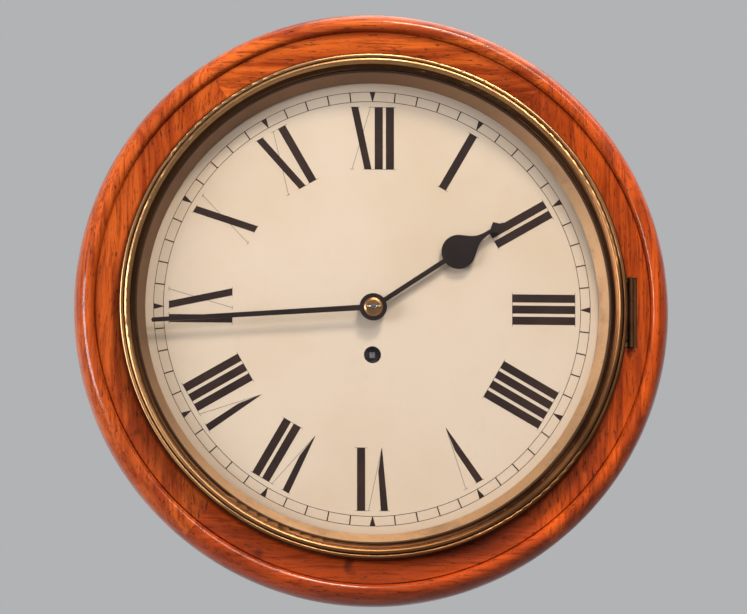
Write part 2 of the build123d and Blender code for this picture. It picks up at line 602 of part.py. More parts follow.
# ---- hands ----
with BuildPart() as hour_hand:
    with BuildSketch(turned(HOUR_DEPTH, HOUR_ANGLE)):
        Circle(HUB_R - 0.4)
        with Locations((0, SPADE_AT / 2)):
            Rectangle(3.1, SPADE_AT)
        with Locations((0, SPADE_AT)):
            Circle(SPADE_R)
        with BuildLine():
            Bezier((-8.6, SPADE_AT + 6.9), (-5.0, SPADE_AT + 11.4), (-1.9, SPADE_AT + 14), (-1.4, 86.6))
            Polyline((-1.4, 86.6), (-1.1, 91.2), (-4.0, 95.2), (-0.9, 98.2), (0, HOUR_TIP), (0.9, 98.2),
                     (4.0, 95.2), (1.1, 91.2), (1.4, 86.6))
            Bezier((1.4, 86.6), (1.9, SPADE_AT + 14), (5.0, SPADE_AT + 11.4), (8.6, SPADE_AT + 6.9))
            Line((8.6, SPADE_AT + 6.9), (-8.6, SPADE_AT + 6.9))
        make_face()
        Circle(4.0, mode=Mode.SUBTRACT)
    extrude(amount=HAND_T)
write(hour_hand.part, "hour_hand")

with BuildPart() as minute_hand:
    with BuildSketch(turned(MINUTE_DEPTH, MINUTE_ANGLE)):
        with BuildLine():
            Polyline((-1.8, 0), (-1.4, MINUTE_TIP - 0.7), (-0.5, MINUTE_TIP), (0.5, MINUTE_TIP),
                     (1.4, MINUTE_TIP - 0.7), (1.8, 0), close=True)
        make_face()
        Circle(HUB_R)
        Circle(2.6, mode=Mode.SUBTRACT)
    extrude(amount=HAND_T)
write(minute_hand.part, "minute_hand")

COLLET_BACK = MINUTE_DEPTH + HAND_T
with BuildPart() as hand_collet:
    with BuildSketch(section(0)):
        with BuildLine():
            Polyline((3.5, COLLET_BACK + 1.9), (1.5, COLLET_BACK + 1.9), (1.5, COLLET_BACK),
                     (COLLET_R, COLLET_BACK), (COLLET_R, COLLET_BACK + 0.5))
            ThreePointArc((COLLET_R, COLLET_BACK + 0.5), (5.2, COLLET_BACK + 1.3), (3.5, COLLET_BACK + 1.6))
            Line((3.5, COLLET_BACK + 1.6), (3.5, COLLET_BACK + 1.9))
        make_face()
    revolve(axis=DIAL_AXIS)
write(hand_collet.part, "hand_collet")

with BuildPart() as hand_pin:
    with BuildSketch(Plane.YZ.offset(-4.5)):
        with Locations((-COLLET_BACK - 2.4, 0)):
            Circle(0.45)
    extrude(amount=9)
write(hand_pin.part, "hand_pin")

# ---- movement frame ----
PIVOTS = {
    "intermediate": (INTERMEDIATE_AT, 0.9),
    "third": (THIRD_AT, 0.7),
    "escape": (ESCAPE_AT, 0.6),
}
with BuildPart() as back_plate:
    block((-PLATE_HALF, PLATE_HALF), (BACK_PLATE, BACK_PLATE + PLATE_T), PLATE_Z)
    fillet(back_plate.edges().filter_by(Axis.Y), 4)
    for pillar in PILLARS:
        disc(pillar, (BACK_PLATE, BACK_PLATE + PLATE_T), 2.0, Mode.SUBTRACT)
    for center, radius in PIVOTS.values():
        disc(center, (BACK_PLATE, BACK_PLATE + PLATE_T), radius + RUN_GAP, Mode.SUBTRACT)
    disc(CENTER_AT, (BACK_PLATE, BACK_PLATE + PLATE_T), 1.2 + RUN_GAP, Mode.SUBTRACT)
    disc(BARREL_AT, (BACK_PLATE, BACK_PLATE + PLATE_T), 2.5 + RUN_GAP, Mode.SUBTRACT)
    disc(PALLET_AT, (BACK_PLATE, BACK_PLATE + PLATE_T), 4.0, Mode.SUBTRACT)
write(back_plate.part, "back_plate")

CLICK_AT = polar(14.2, 150, BARREL_AT)
with BuildPart() as front_plate:
    block((-PLATE_HALF, PLATE_HALF), (FRONT_PLATE, FRONT_PLATE + PLATE_T), PLATE_Z)
    fillet(front_plate.edges().filter_by(Axis.Y), 4)
    for pillar in PILLARS:
        disc(pillar, (FRONT_PLATE, FRONT_PLATE + PLATE_T), 1.6, Mode.SUBTRACT)
    for foot in DIAL_FEET:
        disc(foot, (FRONT_PLATE, FRONT_PLATE + PLATE_T), 1.5, Mode.SUBTRACT)
    for center, radius in PIVOTS.values():
        disc(center, (FRONT_PLATE, FRONT_PLATE + PLATE_T), radius + RUN_GAP, Mode.SUBTRACT)
    disc(PALLET_AT, (FRONT_PLATE, FRONT_PLATE + PLATE_T), 0.8 + RUN_GAP, Mode.SUBTRACT)
    disc(CENTER_AT, (FRONT_PLATE, FRONT_PLATE + PLATE_T), 1.8 + RUN_GAP, Mode.SUBTRACT)
    disc(BARREL_AT, (FRONT_PLATE, FRONT_PLATE + PLATE_T), 3.0 + RUN_GAP, Mode.SUBTRACT)
    disc(MINUTE_WHEEL_AT, (FRONT_PLATE + PLATE_T, FRONT_PLATE + PLATE_T + 9.5), 1.2)
    disc(CLICK_AT, (FRONT_PLATE + PLATE_T, FRONT_PLATE + PLATE_T + 3.6), 1.2)
write(front_plate.part, "front_plate")

with BuildPart() as plate_pillars:
    for pillar in PILLARS:
        disc(pillar, (BACK_PLATE - 0.6, BACK_PLATE + PLATE_T), 2.0)
        disc(pillar, (BACK_PLATE + PLATE_T, FRONT_PLATE), 3.2)
        disc(pillar, (FRONT_PLATE, FRONT_PLATE + PLATE_T + 3.4), 1.6)
write(plate_pillars.part, "plate_pillars")

with BuildPart() as pillar_nuts:
    for pillar in PILLARS:
        with BuildSketch(facing(FRONT_PLATE + PLATE_T)):
            with Locations(pillar):
                RegularPolygon(3.4, 6)
                Circle(1.6, mode=Mode.SUBTRACT)
        extrude(amount=2.6)
write(pillar_nuts.part, "pillar_nuts")

# ---- going barrel, mainspring and winding work ----
BARREL_BACK = 76.0
BARREL_FRONT = 95.0
with BuildPart() as barrel:
    toothed(wheel_outline(BARREL_TEETH, GREAT_MODULE, BARREL_PHASE), BARREL_AT,
            (BARREL_BACK, BARREL_BACK + 2))
    disc(BARREL_AT, (BARREL_BACK, BARREL_FRONT), 23.0)
    disc(BARREL_AT, (BARREL_BACK + 2, BARREL_FRONT), 21.8, Mode.SUBTRACT)
    disc(BARREL_AT, (BARREL_BACK, BARREL_FRONT), 3.0 + RUN_GAP, Mode.SUBTRACT)
write(barrel.part, "barrel")

with BuildPart() as barrel_cap:
    disc(BARREL_AT, (BARREL_FRONT - 1.2, BARREL_FRONT), 21.8)
    disc(BARREL_AT, (BARREL_FRONT - 1.2, BARREL_FRONT), 3.0 + RUN_GAP, Mode.SUBTRACT)
write(barrel_cap.part, "barrel_cap")

SPRING_TURNS = 7
SPRING_STEPS = 14
with BuildPart() as mainspring:
    with BuildSketch(facing(BARREL_BACK + 2.6)):
        with Locations(BARREL_AT):
            count = SPRING_TURNS * SPRING_STEPS
            coil = [(5.6 + 15.2 * step / count, step * 360 / SPRING_STEPS) for step in range(count + 1)]
            inside = [polar(radius, angle) for radius, angle in coil]
            outside = [polar(radius + 0.8, angle) for radius, angle in reversed(coil)]
            Polygon(*inside, *outside, align=None)
    extrude(amount=BARREL_FRONT - BARREL_BACK - 4.4)
write(mainspring.part, "mainspring")

RATCHET_DEPTH = (FRONT_PLATE + PLATE_T + 0.6, FRONT_PLATE + PLATE_T + 2.8)
WINDING_TIP = 124.6
with BuildPart() as winding_arbor:
    disc(BARREL_AT, (BACK_PLATE - 0.5, BACK_PLATE + PLATE_T + 1), 2.5)
    disc(BARREL_AT, (BACK_PLATE + PLATE_T + 1, FRONT_PLATE + PLATE_T + 4.4), 3.0)
    disc(BARREL_AT, (BARREL_BACK + 2.6, BARREL_FRONT - 1.8), 4.6)
    disc(BARREL_AT, (BACK_PLATE + PLATE_T + 1, BARREL_BACK - 0.5), 4.2)
    with BuildSketch(facing(FRONT_PLATE + PLATE_T + 4.4)):
        with Locations(BARREL_AT):
            Rectangle(3.7, 3.7)
    extrude(amount=WINDING_TIP - FRONT_PLATE - PLATE_T - 4.4)
write(winding_arbor.part, "winding_arbor")

with BuildPart() as ratchet_wheel:
    with BuildSketch(facing(RATCHET_DEPTH[0])):
        with Locations(BARREL_AT):
            teeth = []
            for tooth in range(RATCHET_TEETH):
                angle = tooth * 360 / RATCHET_TEETH
                teeth.append(polar(9.0, angle))
                teeth.append(polar(7.7, angle + 1))
            Polygon(*teeth, align=None)
            Circle(3.0, mode=Mode.SUBTRACT)
    extrude(amount=RATCHET_DEPTH[1] - RATCHET_DEPTH[0])
write(ratchet_wheel.part, "ratchet_wheel")

# the click's nose rests just clear of the teeth, so that the winding turns freely
with BuildPart() as click:
    with BuildSketch(facing(RATCHET_DEPTH[0])):
        nose = polar(9.5, 126, BARREL_AT)
        with Locations(CLICK_AT):
            Circle(2.9)
        with BuildLine():
            Polyline(polar(2.6, 60, CLICK_AT), nose, polar(11.2, 124, BARREL_AT), polar(2.7, 95, CLICK_AT),
                     close=True)
        make_face()
        with Locations(CLICK_AT):
            Circle(1.2 + RUN_GAP, mode=Mode.SUBTRACT)
    extrude(amount=RATCHET_DEPTH[1] - RATCHET_DEPTH[0])
write(click.part, "click")

# ---- going train ----
WHEEL_T = 1.5
GREAT_PINION_DEPTH = (73.5, 80.5)
INTERMEDIATE_WHEEL_DEPTH = 98.0
CENTER_PINION_DEPTH = (96.5, 101.0)
CENTER_WHEEL_DEPTH = 69.0
THIRD_PINION_DEPTH = (67.5, 72.0)
THIRD_WHEEL_DEPTH = 84.0
ESCAPE_PINION_DEPTH = (82.0, 87.5)
ESCAPE_WHEEL_DEPTH = 75.4
INNER = (BACK_PLATE + PLATE_T + 0.4, FRONT_PLATE - 0.4)
OUTER = (BACK_PLATE, FRONT_PLATE + PLATE_T)

with BuildPart() as intermediate_arbor:
    disc(INTERMEDIATE_AT, OUTER, PIVOTS["intermediate"][1])
    disc(INTERMEDIATE_AT, INNER, 1.3)
    toothed(pinion_outline(INTERMEDIATE_LEAVES, GREAT_MODULE, INTERMEDIATE_LEAF_PHASE), INTERMEDIATE_AT,
            GREAT_PINION_DEPTH)
write(intermediate_arbor.part, "intermediate_arbor")

with BuildPart() as intermediate_wheel:
    crossed_wheel(wheel_outline(INTERMEDIATE_TEETH, INTERMEDIATE_MODULE, INTERMEDIATE_PHASE), INTERMEDIATE_AT,
                  (INTERMEDIATE_WHEEL_DEPTH, INTERMEDIATE_WHEEL_DEPTH + WHEEL_T), 14.6, 4.0, 1.3, 4)
write(intermediate_wheel.part, "intermediate_wheel")

with BuildPart() as center_arbor:
    disc(CENTER_AT, (BACK_PLATE, BACK_PLATE + PLATE_T + 0.4), 1.2)
    disc(CENTER_AT, (INNER[0], FRONT_PLATE - 0.4), 2.0)
    disc(CENTER_AT, (FRONT_PLATE - 0.4, FRONT_PLATE + PLATE_T + 1), 1.8)
    disc(CENTER_AT, (FRONT_PLATE + PLATE_T + 1, ARBOR_TIP), 1.5)
    toothed(pinion_outline(CENTER_LEAVES, INTERMEDIATE_MODULE, CENTER_LEAF_PHASE), CENTER_AT,
            CENTER_PINION_DEPTH)
    with BuildSketch(Plane.YZ.offset(-4.5)):
        with Locations((-COLLET_BACK - 2.4, 0)):
            Circle(0.45)
    extrude(amount=9, mode=Mode.SUBTRACT)
write(center_arbor.part, "center_arbor")

with BuildPart() as center_wheel:
    crossed_wheel(wheel_outline(CENTER_TEETH, CENTER_MODULE, CENTER_PHASE), CENTER_AT,
                  (CENTER_WHEEL_DEPTH, CENTER_WHEEL_DEPTH + WHEEL_T), 15.6, 4.4, 2.0, 4)
write(center_wheel.part, "center_wheel")

with BuildPart() as third_arbor:
    disc(THIRD_AT, OUTER, PIVOTS["third"][1])
    disc(THIRD_AT, INNER, 1.1)
    toothed(pinion_outline(THIRD_LEAVES, CENTER_MODULE, THIRD_LEAF_PHASE), THIRD_AT, THIRD_PINION_DEPTH)
write(third_arbor.part, "third_arbor")

with BuildPart() as third_wheel:
    crossed_wheel(wheel_outline(THIRD_TEETH, THIRD_MODULE, THIRD_PHASE), THIRD_AT,
                  (THIRD_WHEEL_DEPTH, THIRD_WHEEL_DEPTH + WHEEL_T), 14.6, 3.6, 1.1, 4)
write(third_wheel.part, "third_wheel")

with BuildPart() as escape_arbor:
    disc(ESCAPE_AT, OUTER, PIVOTS["escape"][1])
    disc(ESCAPE_AT, INNER, 0.95)
    toothed(pinion_outline(ESCAPE_LEAVES, THIRD_MODULE, ESCAPE_LEAF_PHASE), ESCAPE_AT, ESCAPE_PINION_DEPTH)
write(escape_arbor.part, "escape_arbor")

escape_teeth = []
for tooth in range(ESCAPE_TEETH):
    angle = tooth * 360 / ESCAPE_TEETH
    escape_teeth.append(polar(14.8, angle - 1.6))
    escape_teeth.append(polar(ESCAPE_R, angle - 0.5))
    escape_teeth.append(polar(ESCAPE_R, angle))
    escape_teeth.append(polar(14.8, angle + 2.6))
with BuildPart() as escape_wheel:
    crossed_wheel(escape_teeth, ESCAPE_AT, (ESCAPE_WHEEL_DEPTH, ESCAPE_WHEEL_DEPTH + 1.2), 13.2, 3.2, 0.95, 4)
write(escape_wheel.part, "escape_wheel")

# ---- recoil anchor, pallet arbor and crutch ----
ANCHOR_DEPTH = (ESCAPE_WHEEL_DEPTH - 1.4, ESCAPE_WHEEL_DEPTH + 2.6)
PALLET_CLEAR = ESCAPE_R + 0.8
CRUTCH_DEPTH = (56.0, 58.0)
FORK_Z = (14.0, 18.0)
FORK_GAP = 1.35
COCK_DEPTH = (52.0, 54.0)

with BuildPart() as anchor:
    with BuildSketch(facing(ANCHOR_DEPTH[0])):
        with BuildLine():
            Line(polar(PALLET_CLEAR, 57, ESCAPE_AT), polar(22.4, 56, ESCAPE_AT))
            Spline(polar(22.4, 56, ESCAPE_AT), (5.5, PALLET_AT[1] + 2.6), (0, PALLET_AT[1] + 3.6),
                   (-5.5, PALLET_AT[1] + 2.6), polar(22.4, 124, ESCAPE_AT))
            Line(polar(22.4, 124, ESCAPE_AT), polar(PALLET_CLEAR, 123, ESCAPE_AT))
            Line(polar(PALLET_CLEAR, 123, ESCAPE_AT), polar(19.0, 119, ESCAPE_AT))
            ThreePointArc(polar(19.0, 119, ESCAPE_AT), polar(18.4, 90, ESCAPE_AT),
                          polar(19.0, 61, ESCAPE_AT))
            Line(polar(19.0, 61, ESCAPE_AT), polar(PALLET_CLEAR, 57, ESCAPE_AT))
        make_face()
        with Locations(PALLET_AT):
            Circle(0.95, mode=Mode.SUBTRACT)
    extrude(amount=ANCHOR_DEPTH[1] - ANCHOR_DEPTH[0])
write(anchor.part, "anchor")

with BuildPart() as pallet_arbor:
    disc(PALLET_AT, (COCK_DEPTH[0], FRONT_PLATE + PLATE_T), 0.8)
    disc(PALLET_AT, (COCK_DEPTH[1] + 0.4, INNER[1]), 0.95)
    disc(PALLET_AT, CRUTCH_DEPTH, 3.2)
    block((-1.2, 1.2), CRUTCH_DEPTH, (FORK_Z[0], PALLET_AT[1]))
    block((-FORK_GAP - 1.3, FORK_GAP + 1.3), (PENDULUM_DEPTH + 2, CRUTCH_DEPTH[1]), FORK_Z)
    for side in (-1, 1):
        block(sorted((side * FORK_GAP, side * (FORK_GAP + 1.3))),
              (PENDULUM_DEPTH - 3, PENDULUM_DEPTH + 2), FORK_Z)
write(pallet_arbor.part, "pallet_arbor")

# ---- back cock, suspension, pendulum ----
POST_Z = (PALLET_AT[1] + 4, PALLET_AT[1] + 11)
with BuildPart() as back_cock:
    block((-22, 22), COCK_DEPTH, (PALLET_AT[1] - 5, POST_Z[1]))
    for side in (-1, 1):
        block(sorted((side * 15, side * 22)), (COCK_DEPTH[1], BACK_PLATE), (PALLET_AT[1], POST_Z[1]))
    block((-4, 4), (PENDULUM_DEPTH - 4, COCK_DEPTH[0]), POST_Z)
    block((-0.9, 0.9), (PENDULUM_DEPTH - 3, PENDULUM_DEPTH + 3), POST_Z, Mode.SUBTRACT)
    with BuildSketch(Plane.YZ.offset(-4)):
        with Locations((-PENDULUM_DEPTH, PALLET_AT[1] + 8)):
            Circle(0.6)
    extrude(amount=8)
    disc(PALLET_AT, COCK_DEPTH, 0.8 + RUN_GAP, Mode.SUBTRACT)
write(back_cock.part, "back_cock")

ROD_TOP = PALLET_AT[1] - 12
with BuildPart() as suspension_spring:
    block((-0.1, 0.1), (PENDULUM_DEPTH - 2, PENDULUM_DEPTH + 2), (ROD_TOP + 2, PALLET_AT[1] + 10))
    with BuildSketch(Plane.YZ.offset(-1)):
        with Locations((-PENDULUM_DEPTH, PALLET_AT[1] + 8)):
            Circle(0.95)
    extrude(amount=2, mode=Mode.SUBTRACT)
write(suspension_spring.part, "suspension_spring")

BOB_Z = PALLET_AT[1] - PENDULUM_LENGTH
ROD_R = 1.2
ROD_BOTTOM = BOB_Z - BOB_R - 8
with BuildPart() as pendulum_rod:
    with BuildSketch(Plane.XY.offset(ROD_BOTTOM)):
        with Locations((0, -PENDULUM_DEPTH)):
            Circle(ROD_R)
    extrude(amount=ROD_TOP - ROD_BOTTOM)
    block((-1.8, 1.8), (PENDULUM_DEPTH - 2.4, PENDULUM_DEPTH + 2.4), (ROD_TOP - 2, ROD_TOP + 6))
    block((-0.1, 0.1), (PENDULUM_DEPTH - 2, PENDULUM_DEPTH + 2), (ROD_TOP + 2, ROD_TOP + 6), Mode.SUBTRACT)
write(pendulum_rod.part, "pendulum_rod")

with BuildPart() as bob:
    with BuildSketch(Plane(origin=(0, -PENDULUM_DEPTH, BOB_Z), x_dir=(1, 0, 0), z_dir=(0, 0, -1))):
        with BuildLine():
            Polyline((5, BOB_T / 2), (0, BOB_T / 2), (0, -BOB_T / 2), (5, -BOB_T / 2))
            ThreePointArc((5, -BOB_T / 2), (BOB_R - 6, 0.7 - BOB_T / 2), (BOB_R - 0.5, -BOB_T / 4))
            Line((BOB_R - 0.5, -BOB_T / 4), (BOB_R, 0))
            Line((BOB_R, 0), (BOB_R - 0.5, BOB_T / 4))
            ThreePointArc((BOB_R - 0.5, BOB_T / 4), (BOB_R - 6, BOB_T / 2 - 0.7), (5, BOB_T / 2))
        make_face()
    revolve(axis=Axis((0, -PENDULUM_DEPTH, BOB_Z), (0, -1, 0)))
    with BuildSketch(Plane.XY.offset(BOB_Z - BOB_R - 1)):
        with Locations((0, -PENDULUM_DEPTH)):
            Circle(ROD_R + RUN_GAP)
    extrude(amount=2 * BOB_R + 2, mode=Mode.SUBTRACT)
write(bob.part, "bob")

NUT_TOP = BOB_Z - BOB_R - 0.1
with BuildPart() as rating_nut:
    with BuildSketch(Plane.XY.offset(NUT_TOP - 3)):
        with Locations((0, -PENDULUM_DEPTH)):
            RegularPolygon(4.4, 12)
            Circle(ROD_R + RUN_GAP, mode=Mode.SUBTRACT)
    extrude(amount=3)
write(rating_nut.part, "rating_nut")

# ---- motion work under the dial ----
CANNON_DEPTH = (FRONT_PLATE + PLATE_T + 1.2, FRONT_PLATE + PLATE_T + 5.2)
MINUTE_WHEEL_DEPTH = FRONT_PLATE + PLATE_T + 2.4
HOUR_WHEEL_DEPTH = FRONT_PLATE + PLATE_T + 6.4

with BuildPart() as cannon_pinion:
    toothed(pinion_outline(CANNON_LEAVES, CANNON_MODULE, CANNON_PHASE), CENTER_AT, CANNON_DEPTH)
    disc(CENTER_AT, (CANNON_DEPTH[0], MINUTE_DEPTH + HAND_T), 2.6)
    disc(CENTER_AT, (CANNON_DEPTH[0], MINUTE_DEPTH + HAND_T), 1.5, Mode.SUBTRACT)
write(cannon_pinion.part, "cannon_pinion")

with BuildPart() as minute_wheel:
    toothed(wheel_outline(MINUTE_TEETH, CANNON_MODULE, MINUTE_PHASE), MINUTE_WHEEL_AT,
            (MINUTE_WHEEL_DEPTH, MINUTE_WHEEL_DEPTH + WHEEL_T))
    toothed(pinion_outline(MINUTE_LEAVES, HOUR_MODULE, MINUTE_LEAF_PHASE), MINUTE_WHEEL_AT,
            (MINUTE_WHEEL_DEPTH + WHEEL_T, HOUR_WHEEL_DEPTH + 2))
    disc(MINUTE_WHEEL_AT, (MINUTE_WHEEL_DEPTH, HOUR_WHEEL_DEPTH + 2), 1.2 + RUN_GAP, Mode.SUBTRACT)
write(minute_wheel.part, "minute_wheel")

with BuildPart() as hour_wheel:
    toothed(wheel_outline(HOUR_TEETH, HOUR_MODULE, HOUR_PHASE), CENTER_AT,
            (HOUR_WHEEL_DEPTH, HOUR_WHEEL_DEPTH + WHEEL_T))
    disc(CENTER_AT, (HOUR_WHEEL_DEPTH, HOUR_DEPTH + HAND_T), 4.0)
    disc(CENTER_AT, (HOUR_WHEEL_DEPTH, HOUR_DEPTH + HAND_T), 2.6 + RUN_GAP, Mode.SUBTRACT)
write(hour_wheel.part, "hour_wheel")
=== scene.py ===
"""Looks of the schoolhouse wall clock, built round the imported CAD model. Metres, origin on the dial's axis
at the wall, front towards -Y."""

import json
from math import cos, pi, radians, sin

import bmesh
import bpy
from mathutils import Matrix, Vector


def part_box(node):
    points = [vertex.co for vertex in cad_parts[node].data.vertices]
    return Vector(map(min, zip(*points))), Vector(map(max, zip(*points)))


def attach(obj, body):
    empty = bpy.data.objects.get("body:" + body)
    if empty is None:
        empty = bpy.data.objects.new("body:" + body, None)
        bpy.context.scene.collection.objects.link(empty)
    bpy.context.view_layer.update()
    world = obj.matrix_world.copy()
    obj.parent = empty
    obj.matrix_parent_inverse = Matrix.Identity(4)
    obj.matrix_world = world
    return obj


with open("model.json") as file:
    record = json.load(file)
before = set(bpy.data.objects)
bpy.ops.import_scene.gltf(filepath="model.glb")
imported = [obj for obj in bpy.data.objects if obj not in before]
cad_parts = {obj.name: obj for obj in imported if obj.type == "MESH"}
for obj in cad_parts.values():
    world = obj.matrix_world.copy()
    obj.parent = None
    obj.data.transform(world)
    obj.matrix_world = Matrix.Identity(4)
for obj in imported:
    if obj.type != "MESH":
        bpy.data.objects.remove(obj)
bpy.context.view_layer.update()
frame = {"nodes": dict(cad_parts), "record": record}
nodes = frame["nodes"]
MM = 0.001
GLASS_INDEX = 1.5


# ---- node helpers ----

def set_input(tree, socket, value):
    """Link a socket, or set a plain value on it."""
    if isinstance(value, bpy.types.NodeSocket):
        tree.links.new(value, socket)
    else:
        socket.default_value = value


def add(tree, kind, inputs=None, **settings):
    """A node of a kind with its settings and inputs."""
    made = tree.nodes.new(kind)
    for key, value in settings.items():
        setattr(made, key, value)
    for key, value in (inputs or {}).items():
        set_input(tree, made.inputs[key], value)
    return made


def blank(name, **inputs):
    """A material with one Principled shader, its tree and the shader."""
    material = bpy.data.materials.new(name)
    material.use_nodes = True
    tree = material.node_tree
    shader = tree.nodes["Principled BSDF"]
    for key, value in inputs.items():
        set_input(tree, shader.inputs[key.replace("_", " ")], value)
    return material, tree, shader


def calc(tree, operation, a, b=0.0, c=0.0):
    """One arithmetic step."""
    made = add(tree, "ShaderNodeMath", {0: a, 1: b, 2: c}, operation=operation)
    return made.outputs[0]


def smooth(tree, value, low, high, to_low=0.0, to_high=1.0):
    """A smooth step of a value between two limits."""
    made = add(tree, "ShaderNodeMapRange", {"Value": value, "From Min": low, "From Max": high,
                                            "To Min": to_low, "To Max": to_high},
               interpolation_type="SMOOTHSTEP")
    return made.outputs["Result"]


def blend(tree, factor, a, b):
    """A colour mixed from a to b."""
    made = add(tree, "ShaderNodeMix", data_type="RGBA")
    for index, value in ((0, factor), (6, a), (7, b)):
        set_input(tree, made.inputs[index], value)
    return made.outputs[2]


def place(tree):
    """Coordinates in the row frame at rest, in metres; they ride with the piece."""
    return add(tree, "ShaderNodeTexCoord").outputs["Object"]


def even(cycles):
    """The same number of cycles a metre along every axis."""
    return (cycles, cycles, cycles)


def noise(tree, vector, cycles, detail=3.0, rough=0.5, distortion=0.0, shift=(0.0, 0.0, 0.0)):
    """Noise with its own number of cycles a metre along each axis."""
    at = add(tree, "ShaderNodeMapping", {"Vector": vector, "Scale": cycles, "Location": shift}).outputs[0]
    made = add(tree, "ShaderNodeTexNoise", {"Vector": at, "Scale": 1.0, "Detail": detail, "Roughness": rough,
                                            "Distortion": distortion})
    return made.outputs["Fac"]


def bump(tree, height, distance, strength):
    """A surface normal pushed by a height."""
    made = add(tree, "ShaderNodeBump", {"Height": height, "Distance": distance, "Strength": strength})
    return made.outputs["Normal"]


def radius(tree, vector):
    """Distance from the dial's axis."""
    split = add(tree, "ShaderNodeSeparateXYZ", {"Vector": vector})
    x2 = calc(tree, "MULTIPLY", split.outputs["X"], split.outputs["X"])
    z2 = calc(tree, "MULTIPLY", split.outputs["Z"], split.outputs["Z"])
    return calc(tree, "SQRT", calc(tree, "ADD", x2, z2))


# ---- materials ----

WOOD_CREASE_SHADE_IN = (0.1768, 0.1774)      # radii over which painted shade darkens the crease of the surround
WOOD_CREASE_SHADE_OUT = (0.1786, 0.1778)     # and over which it clears again
BEZEL_SHADOW = (0.1652, 0.1622)        # radii over which a painted shadow darkens the fascia towards the bezel
GRAIN_SWAY = 0.012                     # how far the grain wanders from straight
BAND_CYCLES = (5, 85)                  # cycles a metre along and across the grain
STREAK_CYCLES = (22, 520)
PORE_CYCLES = (150, 1050)
STREAK_TINT = (0.55, 0.45, 0.5)        # of the dark colour
OAK_COAT = 0.45                        # weight of the varnish
PORE_COLOR = (0.045, 0.010, 0.004, 1)
KNOT_COLOR = (0.05, 0.012, 0.005, 1)
# colour of the painted shade in the crease
CREASE_SHADE_COLOR = (0.060, 0.010, 0.003, 1)
SHADOW_COLOR = (0.030, 0.006, 0.003, 1)


def along_grain(direction, along, across):
    """Cycles a metre for a grain that runs along one axis."""
    return tuple(along if axis == direction else across for axis in "XYZ")


def oak(name, direction, light, dark, shift, gloss):
    """Varnished oak: broad bands, fine streaks, open pores as short dark dashes, knots, painted shade in the
    crease and a painted shadow of the bezel beside it."""
    material, tree, shader = blank(name, Specular_IOR_Level=0.15)
    at = place(tree)
    wander = noise(tree, at, even(9), 2.0, shift=shift)
    drift = add(tree, "ShaderNodeCombineXYZ",
                {axis: calc(tree, "MULTIPLY", wander, GRAIN_SWAY) for axis in "XYZ"})
    moved = add(tree, "ShaderNodeVectorMath", {0: at, 1: drift.outputs[0]}, operation="ADD").outputs[0]
    bands = noise(tree, moved, along_grain(direction, *BAND_CYCLES), 4.0, 0.6, 0.6, shift)
    fine = noise(tree, moved, along_grain(direction, *STREAK_CYCLES), 4.0, 0.65, shift=shift)
    pores = noise(tree, moved, along_grain(direction, *PORE_CYCLES), 3.0, 0.6, shift=shift)
    patches = noise(tree, at, even(12), shift=shift)
    blots = noise(tree, at, even(34), 2.0, 0.4, shift=shift)
    body = blend(tree, smooth(tree, bands, 0.36, 0.66), light, dark)
    body = blend(tree, smooth(tree, patches, 0.45, 0.75, 0.0, 0.5), body, dark)
    streak = calc(tree, "MULTIPLY", smooth(tree, fine, 0.48, 0.66), 0.65)
    streak_color = (*(channel * tint for channel, tint in zip(dark, STREAK_TINT)), 1)
    body = blend(tree, streak, body, streak_color)
    pore = calc(tree, "MULTIPLY", smooth(tree, pores, 0.57, 0.68), smooth(tree, bands, 0.28, 0.52))
    body = blend(tree, calc(tree, "MULTIPLY", pore, 0.85), body, PORE_COLOR)
    knot = smooth(tree, blots, 0.70, 0.76)
    body = blend(tree, calc(tree, "MULTIPLY", knot, 0.8), body, KNOT_COLOR)
    out = radius(tree, at)
    # painted shade in the crease of the surround
    crease_shade = calc(tree, "MULTIPLY", smooth(tree, out, *WOOD_CREASE_SHADE_IN), smooth(tree, out, *WOOD_CREASE_SHADE_OUT))
    body = blend(tree, calc(tree, "MULTIPLY", crease_shade, 0.2), body, CREASE_SHADE_COLOR)
    # painted shadow of the bezel on the fascia
    body = blend(tree, smooth(tree, out, *BEZEL_SHADOW, 0.0, 0.8), body, SHADOW_COLOR)
    set_input(tree, shader.inputs["Base Color"], body)
    wear = noise(tree, at, even(60), 4.0)
    set_input(tree, shader.inputs["Roughness"], smooth(tree, wear, 0.3, 0.7, gloss + 0.16, gloss + 0.3))
    shader.inputs["Coat Weight"].default_value = OAK_COAT
    shader.inputs["Coat Roughness"].default_value = gloss
    shader.inputs["Coat IOR"].default_value = 1.5
    relief = calc(tree, "SUBTRACT", calc(tree, "MULTIPLY", wear, 0.4), calc(tree, "MULTIPLY", pore, 0.5))
    relief = calc(tree, "SUBTRACT", relief, calc(tree, "MULTIPLY", fine, 0.25))
    set_input(tree, shader.inputs["Normal"], bump(tree, relief, 0.0004, 0.35))
    set_input(tree, shader.inputs["Coat Normal"], bump(tree, relief, 0.0004, 0.10))
    return material


SPUN_RINGS = 5200                      # rings a metre, outwards
SOFT_EDGE = 0.0004                     # width over which a ring of painted shade fades
GROOVE_SHADE_COLOR = (0.055, 0.020, 0.008, 1)
SHADE_SIDE_RANGE = (-0.07, 0.13)             # distance towards the shaded side over which painted shade in the tarnish colour deepens
